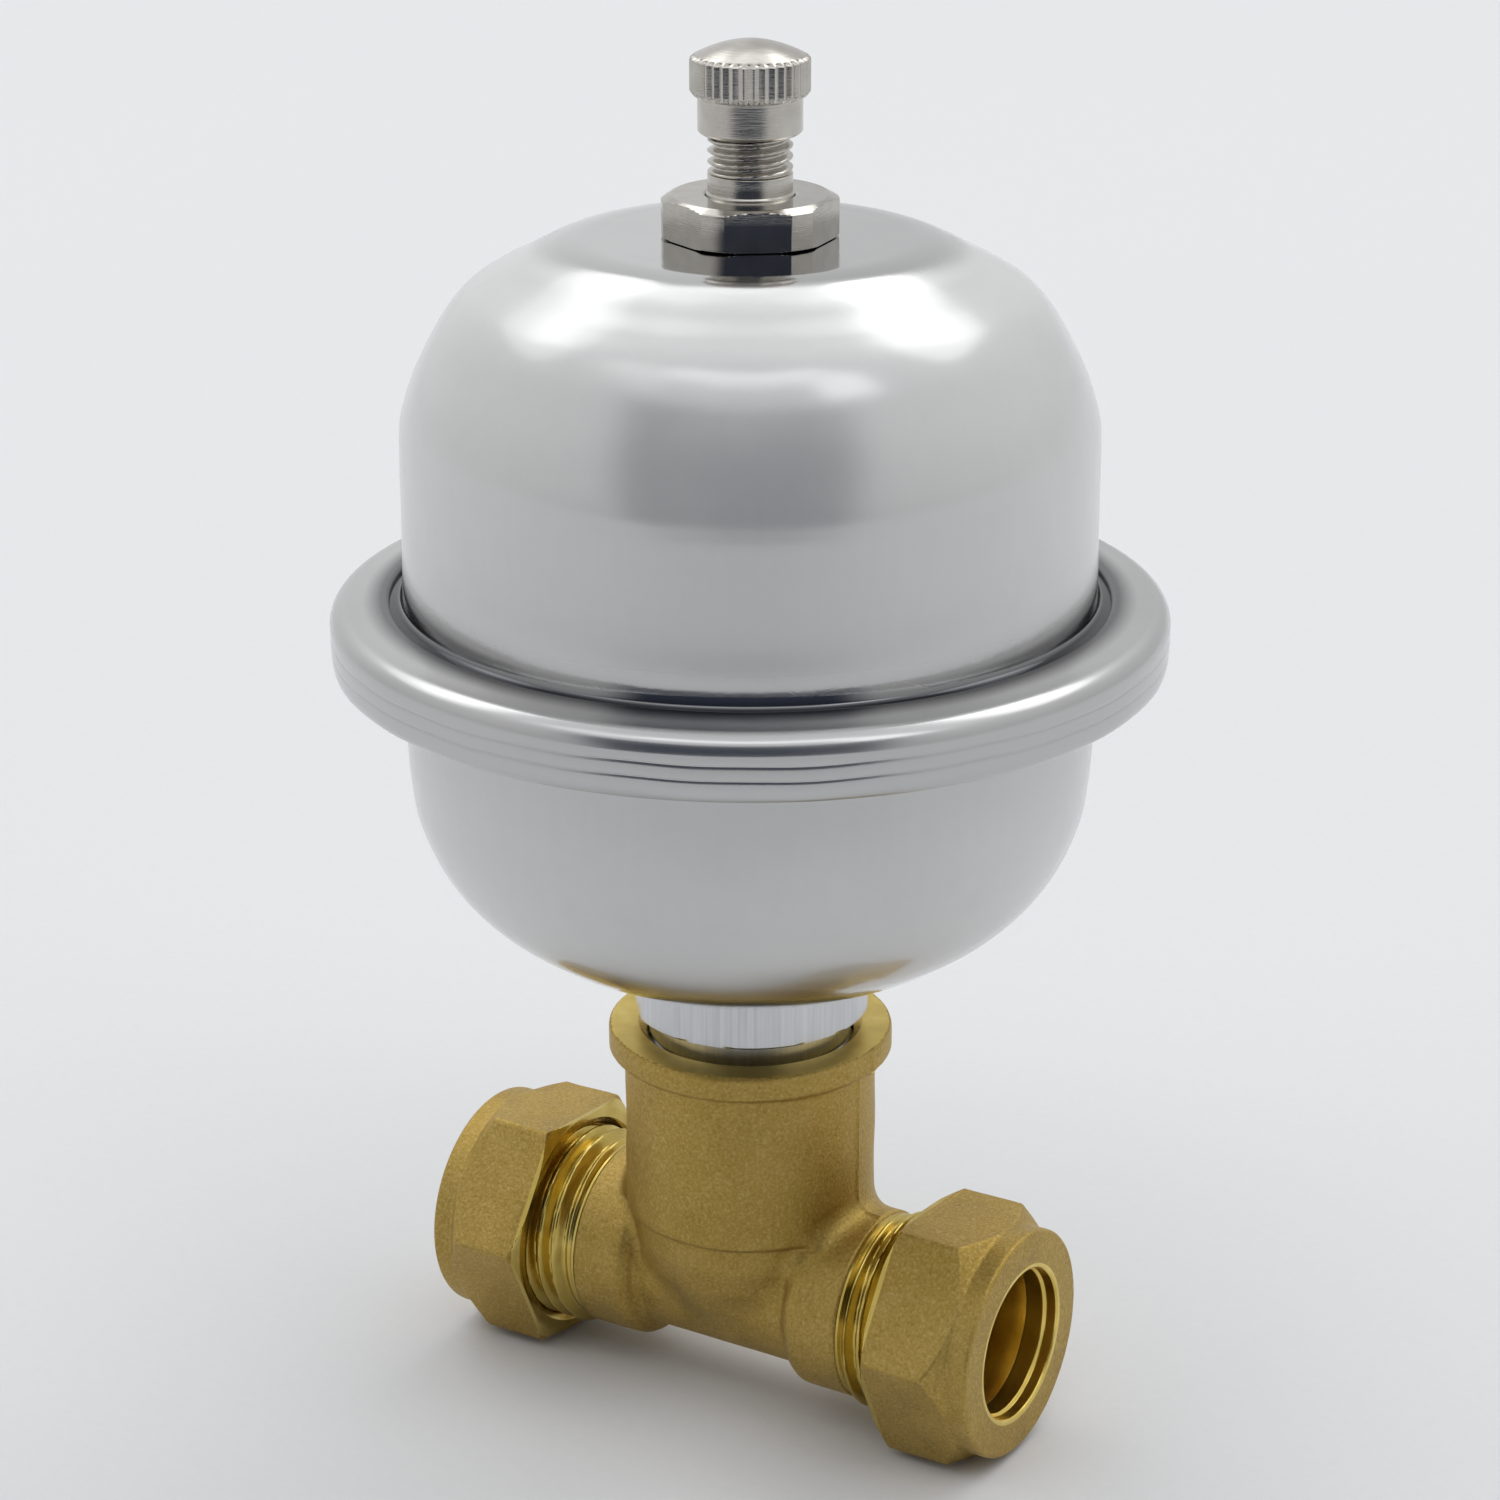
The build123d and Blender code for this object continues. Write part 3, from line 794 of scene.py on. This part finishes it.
# ---------------------------------------------------------------------------
# vessel
# ---------------------------------------------------------------------------
UP = [
    (36.6, 74.72), (35.9, 74.76), (35.3, 74.84), (34.72, 74.98), (34.42, 75.25), (34.30, 75.8), (34.25, 76.8), (34.22, 79.0), (34.19, 81.0), (34.18, 84.0), (34.17, 88.0), (34.15, 91.0), (34.03, 93.0),
    (33.56, 94.9), (32.6, 97.58), (31.2, 100.42), (29.45, 103.37), (27.6, 105.5), (25.5, 106.9), (23.0, 108.2),
    (20.6, 109.5), (18.6, 110.35), (16.6, 110.74), (14.0, 110.80), (11.5, 110.8),
]
LOW = [
    (36.2, 69.07), (35.3, 68.98), (34.6, 68.55), (34.28, 67.6), (34.2, 66.3), (34.21, 64.5), (34.23, 62.3), (34.2, 60.0), (34.05, 57.5),
    (33.40, 53.0), (31.26, 48.0), (28.06, 44.0), (23.42, 40.5), (18.5, 38.0), (14.5, 36.2), (12.0, 35.5),
]
TURNS = 480


def upper_shell():
    wall = smooth_curve(UP, 9)
    inner = offset_path(wall, 0.8)
    inner[0] = (36.6, 73.92)
    out = [(38.9, 74.0), (37.4, 74.6)] + wall + [(4.35, 110.8), (4.35, 109.8), (11.5, 109.8)] + inner[-2::-1] + [(38.9, 73.33)]
    return lathe("upper_shell_sheet", out, [STEEL], turns=TURNS, sharp=45)


def lower_shell():
    wall = smooth_curve(LOW, 9)
    inner = offset_path(wall, -0.8)
    inner[0] = (36.2, 69.87)
    out = [(39.8, 69.07)] + wall + [(7.05, 35.5), (7.05, 36.3), (12.0, 36.3)] + inner[-2::-1] + [(39.8, 69.87)]
    return lathe("lower_shell_sheet", out, [STEEL], turns=TURNS, sharp=45)


def arc(cx, cz, r, a0, a1, n):
    return [
        (cx + r * math.cos(math.radians(a0 + (a1 - a0) * k / n)), cz + r * math.sin(math.radians(a0 + (a1 - a0) * k / n)))
        for k in range(n + 1)
    ]


def crimp_ring():
    RM, RA, RT, RZ = 41.5 - 2.0, 2.0, 0.8, 72.85
    top = smooth_curve([(35.6, 74.82), (35.64, 75.06), (35.86, 75.22), (36.4, 75.245), (37.2, 75.17), (38.0, 75.06), (38.8, 74.94), (39.3, 74.875)], 4)
    outer = top + arc(RM, RZ, RA, 84, 4, 30)
    outer += smooth_curve([(41.495, 72.9), (41.49, 72.45), (41.47, 72.2), (41.40, 72.02), (41.45, 71.84), (41.47, 71.4), (41.46, 70.92), (41.44, 70.74), (41.355, 70.57), (41.40, 70.4), (41.41, 70.0), (41.36, 69.4), (41.17, 68.8), (40.75, 68.35), (40.2, 68.2)], 4)
    inner = [(36.5, 68.2), (36.4, 68.3), (36.4, 69.0), (39.85, 69.0), (40.2, 69.35), (40.45, 70.5), (40.65, 71.7)]
    inner += arc(RM, RZ, RA - RT, 0, 90, 12) + [(38.4, 74.12), (37.0, 74.75), (35.9, 74.84), (35.65, 74.72)]

    def shape(R, A, T):
        # the rolled edge wavers a little
        w = np.clip((R - 40.6) / 0.5, 0, 1) * np.clip((72.6 - A) / 0.5, 0, 1)
        return R, A + 0.05 * w * np.sin(9 * T + 0.6) + 0.035 * w * np.sin(23 * T)

    return lathe("crimp_ring_band", outer + inner, [RING], turns=TURNS, shape=shape, sharp=50)


def connector():
    hexpart = [(9.4, 30.5, 0.05), (11.75, 30.54, 0.12), (12.2, 30.85, 0.1), (12.2, 35.42, 0.08), (7.0, 35.45, 0.0)]
    out = (
        [(4.5, 17.2), (9.5, 17.2), (G_CREST - 0.7, 17.5)]
        + rows(G_CREST, 17.9, 27.9, 0.09)
        + rounded([(10.40, 27.95), (10.40, 30.28), (9.4, 30.3)], 0.1, 3, closed=False)[0:]
        + rounded([(9.4, 30.3)] + hexpart[0:], 0.1, 4, closed=False)[1:]
        + [(7.0, 36.32), (8.3, 36.34), (8.3, 37.0), (7.6, 37.5), (4.5, 37.5)]
    )
    clean = [out[0]]
    for q in out[1:]:
        if abs(q[0] - clean[-1][0]) + abs(q[1] - clean[-1][1]) > 1e-6:
            clean.append(q)
    out = subdivide(clean, 0.5)

    def shape(R, A, T):
        hx = hex_radius(T, 11.65, 8.8, 0.05)
        on = (R > 10.6) & (A > 30.45) & (A < 35.6)
        Rn = np.where(on, smin(hx, R, 0.03), R)
        u = A / G_PITCH - T / TAU
        th = np.abs(R - G_CREST) < 0.02
        d = thread_form(u, G_DEPTH) * fade(A, 17.85, 27.95, 0.5)
        return np.where(th, R - d, Rn), A

    return lathe("connector_hexagon", out, [ALLOY], turns=600, shape=shape, sharp=9)


# ---------------------------------------------------------------------------
# charging valve and cap
# ---------------------------------------------------------------------------
M8, MOUTH = (1.06, 4.1, 0.6), (0.794, 3.85, 0.45)


def valve_stem():
    out = rounded(
        [(2.15, 106.9), (6.6, 106.9), (7.0, 107.3), (7.0, 108.3), (4.25, 108.3), (4.25, 115.0), (4.1, 115.2), (4.1, 116.9), (3.85, 117.05)], 0.08, 3, closed=False
    )
    out = subdivide(out, 0.6, closed=False)
    out += rows(M8[1] - 0.003, 117.1, 120.75, 0.055)
    out += [(3.85, 120.9)]
    out += rows(MOUTH[1] - 0.002, 121.0, 127.1, 0.06)
    out += [(3.6, 127.45), (3.5, 127.55), (2.91, 127.55), (2.66, 127.3), (2.66, 122.4), (2.15, 121.5)]

    def shape(R, A, T):
        a = np.abs(R - (M8[1] - 0.003)) < 0.001
        b = np.abs(R - (MOUTH[1] - 0.002)) < 0.001
        ra = R - thread_form(A / M8[0] - T / TAU + 0.25, M8[2]) * fade(A, 117.05, 121.3, 0.35)
        rb = R - thread_form(A / MOUTH[0] - T / TAU, MOUTH[2]) * fade(A, 120.95, 127.2, 0.4)
        return np.where(a, ra, np.where(b, rb, R)), A

    return lathe("valve_stem_turned", out, [TURNED], turns=192, shape=shape, sharp=35)


HEX_TURN = math.degrees(math.atan2(-math.cos(math.radians(36.9)), math.sin(math.radians(36.9)))) + 30.0


def valve_hex():
    out = rounded(
        [(4.31, 110.9, 0.05), (8.2, 110.9, 0.05), (8.53, 111.02, 0.06), (8.55, 114.4, 0.06), (7.55, 114.9, 0.08), (4.45, 114.9, 0.05), (4.31, 114.78, 0.04)], 0.1, 4
    )
    out = subdivide(out, 0.25)

    def shape(R, A, T):
        hx = hex_radius(T, 7.93, HEX_TURN, 0.02)
        return np.where(R > 7.0, smin(hx, R, 0.012), R), A

    return lathe("valve_hex_plated", out, [NICKEL], turns=720, shape=shape, sharp=9)


def valve_cap():
    lower = [(4.15, 120.82, 0.03), (4.8, 120.8, 0.06), (5.03, 121.05, 0.08), (5.03, 124.25, 0.08), (5.2, 124.33, 0.06), (5.45, 124.42, 0.1), (5.77, 124.85, 0.12), (5.77, 127.78, 0.08), (5.66, 127.95, 0.05)]
    out = rounded(lower, 0.08, 3, closed=False)
    dome = [(5.66, 127.95)] + [(r, 129.62 - 1.64 * (r / 5.66) ** 1.85) for r in (5.3, 4.8, 4.1, 3.4, 2.6, 1.8, 1.0, 0.4)]
    out += smooth_curve(dome, 3)[1:]
    out += [(0.0, 129.62)]
    inner = [(0.0, 128.2), (3.8, 128.2), (3.92, 128.1)] + rows(MOUTH[1] + 0.07, 127.2, 121.3, 0.08) + [(4.0, 121.1), (4.15, 120.95)]
    out = subdivide(out, 0.22, closed=False) + inner

    # closed on the axis at both ends
    k = out.index((0.0, 129.62))
    out = out[k + 1 :] + out[: k + 1]

    def shape(R, A, T):
        ph = (T * 36 / TAU) % 1.0
        v = np.abs(ph - 0.5) * 2  # 0 mid ridge, 1 mid flute
        flute = np.sqrt(v * v + 0.02) + np.sqrt((1 - v) ** 2 + 0.004) * -0.15
        win = np.clip((A - 124.45) / 0.25, 0, 1) * np.clip((R - 5.25) / 0.15, 0, 1) * np.clip((128.3 - A) / 0.2, 0, 1)
        Rn = R - 0.23 * flute * win
        b = np.abs(R - (MOUTH[1] + 0.07)) < 0.001
        rb = R - thread_form(A / MOUTH[0] - T / TAU, MOUTH[2] * 0.85) * fade(A, 121.3, 127.2, 0.3)
        return np.where(b, rb, Rn), A

    return lathe("valve_cap_knurled", out, [TURNED], turns=720, shape=shape, sharp=34)


def keep_cad(node, mat):
    ob = frame["nodes"][node]
    if not ob.material_slots:
        ob.data.materials.append(mat)
    for s in ob.material_slots:
        s.material = mat
    return ob


def place(ob, body, slot_name, *nodes):
    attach(ob, body)
    if nodes:
        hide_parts(*nodes)
    return ob


place(build_tee(), "fitting", "forged_brass", "tee_body")
place(thread_sleeve("right_male_thread", False), "fitting", "machined_brass", "tee_body")
place(thread_sleeve("left_male_thread", True), "fitting", "machined_brass", "tee_body")
place(nut("right_nut_forging", 20.6, -4.1, False), "right_nut", "forged_brass", "right_compression_nut")
place(nut("left_nut_forging", 20.9, 4.8, True), "left_nut", "forged_brass", "left_compression_nut")
place(olive("right_olive_ring", False), "right_olive", "machined_brass", "right_olive")
place(olive("left_olive_ring", True), "left_olive", "machined_brass", "left_olive")
place(upper_shell(), "fitting", "stainless_sheet", "upper_shell")
place(lower_shell(), "fitting", "stainless_sheet", "lower_shell")
place(crimp_ring(), "fitting", "stainless_sheet", "crimp_ring")
place(connector(), "fitting", "bright_alloy", "connector")
place(valve_stem(), "fitting", "nickel_plate", "valve_stem")
place(valve_hex(), "fitting", "nickel_plate", "valve_hex_nut")
place(valve_cap(), "valve_cap", "nickel_plate", "valve_cap")

for node, mat in {
    "thread_seal_tape": PTFE,
    "diaphragm_rim": RUBBER,
    "diaphragm_crown": RUBBER,
    "valve_inner_seal": RUBBER,
    "valve_outer_gasket": RUBBER,
    "core_plug": BRASS_Z,
    "core_barrel": BRASS_Z,
    "core_barrel_seal": PTFE,
    "core_pin": BRASS_Z,
    "core_poppet_seal": RUBBER,
    "cap_seal": RUBBER,
}.items():
    keep_cad(node, mat)

wall_path = smooth_curve(
    [(33.15, 72.3), (32.75, 70.0), (32.75, 67.0), (32.95, 63.0), (32.75, 58.0), (32.0, 53.4), (30.2, 49.2), (27.3, 45.7), (23.2, 42.5), (19.2, 40.3), (16.6, 39.2), (15.1, 38.75)], 5
)
wall_in = offset_path(wall_path, -1.5)
wall_in[0], wall_in[-1] = (31.65, 72.3), (15.1, 40.25)
wall = place(lathe("diaphragm_rolling_wall", wall_path + wall_in[::-1], [RUBBER], turns=160), "fitting", "black_rubber", "diaphragm_wall")
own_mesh(wall)


def coil():
    n_turn, per, ring = 5.6 / 0.82, 28, 10
    n = int(n_turn * per) + 1
    V = []
    for i in range(n):
        a = TAU * i / per
        z = 113.15 + 5.6 * i / (n - 1)
        c = np.array([0.83 * math.cos(a), 0.83 * math.sin(a), z + ZR])
        e1 = np.array([math.cos(a), math.sin(a), 0.0])
        e2 = np.array([0.0, 0.0, 1.0])
        for k in range(ring):
            b = TAU * k / ring
            V.append(c + 0.14 * (math.cos(b) * e1 + math.sin(b) * e2))
    F = []
    for i in range(n - 1):
        for k in range(ring):
            k2 = (k + 1) % ring
            F.append([i * ring + k, (i + 1) * ring + k, (i + 1) * ring + k2, i * ring + k2])
    F.append(list(range(ring))[::-1])
    F.append([(n - 1) * ring + k for k in range(ring)])
    ob = new_object("core_spring_wire", np.array(V), F, [WIRE])
    fix_normals(ob)
    return ob


spring = place(coil(), "fitting", "spring_steel", "core_spring")
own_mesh(spring)

# ---------------------------------------------------------------------------
# floor, light and camera
# ---------------------------------------------------------------------------
sc = bpy.context.scene


CAM_AZ = math.radians(31.42 - 90)  # direction from the object to the camera


def floor():
    """A wide pale table top. Its near edge is 430 mm from the vessel's axis, behind the camera."""
    m = Nodes("studio_table")
    g = m.noise(m.coords(), 900, 3, 0.5)
    w = m.noise(m.coords(), 5, 2, 0.5)
    base = m.mix(g, (0.715, 0.72, 0.725), (0.75, 0.755, 0.76))
    base = m.mix(m.remap(w, 0.0, 0.25), base, (0.76, 0.76, 0.76))
    mat = m.finish(base, 0.8, 0.0, m.bump(g, 0.0001, 0.2))
    mat.node_tree.nodes["Principled BSDF"].inputs["Specular IOR Level"].default_value = 0.2
    near, far, half = 430.0, -9000.0, 9000.0
    c, n = np.array([math.cos(CAM_AZ), math.sin(CAM_AZ)]), np.array([-math.sin(CAM_AZ), math.cos(CAM_AZ)])
    pts = [c * near - n * half, c * near + n * half, c * far + n * half, c * far - n * half]
    ob = new_object("studio_table", [(q[0], q[1], 0) for q in pts], [[0, 1, 2, 3]], [mat])
    return ob


floor()



def world():
    w = bpy.data.worlds.new("studio")
    w.use_nodes = True
    sc.world = w
    t = w.node_tree
    t.nodes.clear()
    out = t.nodes.new("ShaderNodeOutputWorld")
    bg = t.nodes.new("ShaderNodeBackground")
    t.links.new(bg.outputs[0], out.inputs[0])
    co = t.nodes.new("ShaderNodeTexCoord")
    sep = t.nodes.new("ShaderNodeSeparateXYZ")
    t.links.new(co.outputs["Generated"], sep.inputs[0])
    X, Y, Z = sep.outputs

    def mth(op, a, b=0.0, c=0.0):
        m = t.nodes.new("ShaderNodeMath")
        m.operation = op
        for i, v in enumerate((a, b, c)):
            if isinstance(v, bpy.types.NodeSocket):
                t.links.new(v, m.inputs[i])
            else:
                m.inputs[i].default_value = v
        return m.outputs[0]

    def step(v, a, b):
        """0 below a, 1 above b, smooth."""
        m = t.nodes.new("ShaderNodeMapRange")
        m.interpolation_type = "SMOOTHSTEP"
        m.clamp = True
        t.links.new(v, m.inputs[0])
        lo, hi = (a, b) if a < b else (b, a)
        m.inputs[1].default_value, m.inputs[2].default_value = lo, hi
        m.inputs[3].default_value, m.inputs[4].default_value = (0.0, 1.0) if a < b else (1.0, 0.0)
        return m.outputs[0]

    horiz = mth("SQRT", mth("ADD", mth("MULTIPLY", X, X), mth("MULTIPLY", Y, Y)))
    el = mth("MULTIPLY", mth("ARCTAN2", Z, horiz), 180 / math.pi)
    # azimuth from the camera's side, in degrees, 0 at the camera, positive to the picture's right
    cx, cy = math.cos(CAM_AZ), math.sin(CAM_AZ)
    fwd = mth("ADD", mth("MULTIPLY", X, cx), mth("MULTIPLY", Y, cy))
    side = mth("ADD", mth("MULTIPLY", X, -cy), mth("MULTIPLY", Y, cx))
    az = mth("MULTIPLY", mth("ARCTAN2", side, fwd), 180 / math.pi)

    def win(v, lo, hi, soft):
        return mth("MULTIPLY", step(v, lo - soft / 2, lo + soft / 2), step(v, hi + soft / 2, hi - soft / 2))

    def mix(fac, a, b):
        m = t.nodes.new("ShaderNodeMix")
        m.data_type = "RGBA"
        for key, v in ((0, fac), (6, a), (7, b)):
            if isinstance(v, bpy.types.NodeSocket):
                t.links.new(v, m.inputs[key])
            else:
                m.inputs[key].default_value = v if key == 0 else (*v, 1)
        return m.outputs[2]

    # a plain room, lighter towards the ceiling
    col = mix(step(el, -8.0, 30.0), (0.62, 0.625, 0.63), (0.76, 0.765, 0.775))
    col = mix(step(el, 25.0, 62.0), col, (0.93, 0.94, 0.96))
    col = mix(step(el, 64.0, 84.0), col, (0.88, 0.89, 0.91))

    def panel(col, a0, a1, e0, e1, soft_a, soft_e, value, amount=1.0):
        """A soft-edged panel of light or dark between azimuths a0 and a1, elevations e0 and e1."""
        fac = mth("MULTIPLY", win(az, a0, a1, soft_a), win(el, e0, e1, soft_e))
        if amount != 1.0:
            fac = mth("MULTIPLY", fac, amount)
        return mix(fac, col, value)

    def grey(v, blue=1.02):
        return (v, v * (1 + (blue - 1) * 0.4), v * blue)

    # light wall behind, both sides of +-180
    col = panel(col, 128.0, 200.0, -20.0, 44.0, 24.0, 12.0, grey(0.66), 0.8)
    col = panel(col, -200.0, -128.0, -20.0, 44.0, 24.0, 12.0, grey(0.80), 0.8)
    # one long soft box overhead and behind, brighter at its ends
    col = panel(col, 150.0, 200.0, 51.0, 66.0, 16.0, 8.0, grey(1.7))
    col = panel(col, -200.0, -150.0, 51.0, 66.0, 16.0, 8.0, grey(1.7))
    col = panel(col, -161.0, -117.0, 40.0, 52.0, 14.0, 7.0, grey(1.95))
    col = panel(col, 100.0, 168.0, 40.0, 63.0, 26.0, 12.0, grey(1.3))
    col = panel(col, 122.0, 162.0, 42.0, 59.0, 18.0, 10.0, grey(2.2), 0.85)
    # front soft boxes and the strip between them
    col = panel(col, -84.0, -46.0, 51.0, 65.0, 24.0, 11.0, grey(1.45))
    col = panel(col, 33.0, 60.0, 44.0, 61.0, 12.0, 9.0, grey(2.2))
    col = panel(col, -52.0, 50.0, 59.0, 70.0, 16.0, 7.0, grey(1.95))
    # the dark opening round the camera, wider at its top, which goes below the table's edge
    az = mth("MULTIPLY", az, mth("SUBTRACT", 1.0, mth("MULTIPLY", step(el, 0.0, 44.0), 0.2)))
    col = panel(col, -41.0, 34.0, -60.0, 43.0, 17.0, 5.0, (0.050, 0.060, 0.090))
    t.links.new(col, bg.inputs[0])
    bg.inputs[1].default_value = 1.0


world()


def lamp(name, az_deg, el_deg, dist, size, power, color=(1, 1, 1)):
    """Area light, azimuth measured from the camera's side, positive to the picture's right."""
    a = CAM_AZ + math.radians(az_deg)
    e = math.radians(el_deg)
    target = Vector((0, 0, 0.07))
    pos = target + Vector((math.cos(a) * math.cos(e), math.sin(a) * math.cos(e), math.sin(e))) * dist
    li = bpy.data.lights.new(name, "AREA")
    li.shape = "ELLIPSE"
    li.size, li.size_y = size
    li.energy = power
    li.color = color
    ob = bpy.data.objects.new(name, li)
    sc.collection.objects.link(ob)
    ob.location = pos
    ob.rotation_euler = (target - pos).to_track_quat("-Z", "Y").to_euler()
    return ob


lamp("key_left", -133, 45, 1.6, (1.5, 0.7), 2.0)
lamp("key_right", 130, 50, 1.6, (1.5, 0.7), 2.5)

cam = bpy.data.cameras.new("camera")
cam.sensor_width = 36.0
cam.lens = 94.56
cam.clip_start = 0.01
cam.clip_end = 50.0
cam_ob = bpy.data.objects.new("camera", cam)
sc.collection.objects.link(cam_ob)
cam_ob.location = (0.1932, -0.3163, (ZR + 196.9) * MM)
cam_ob.rotation_euler = (math.radians(69.48), 0, math.radians(31.42))
sc.camera = cam_ob

sc.view_settings.view_transform = "Standard"
sc.view_settings.look = "None"
sc.view_settings.exposure = 0.0
sc.cycles.use_denoising = True
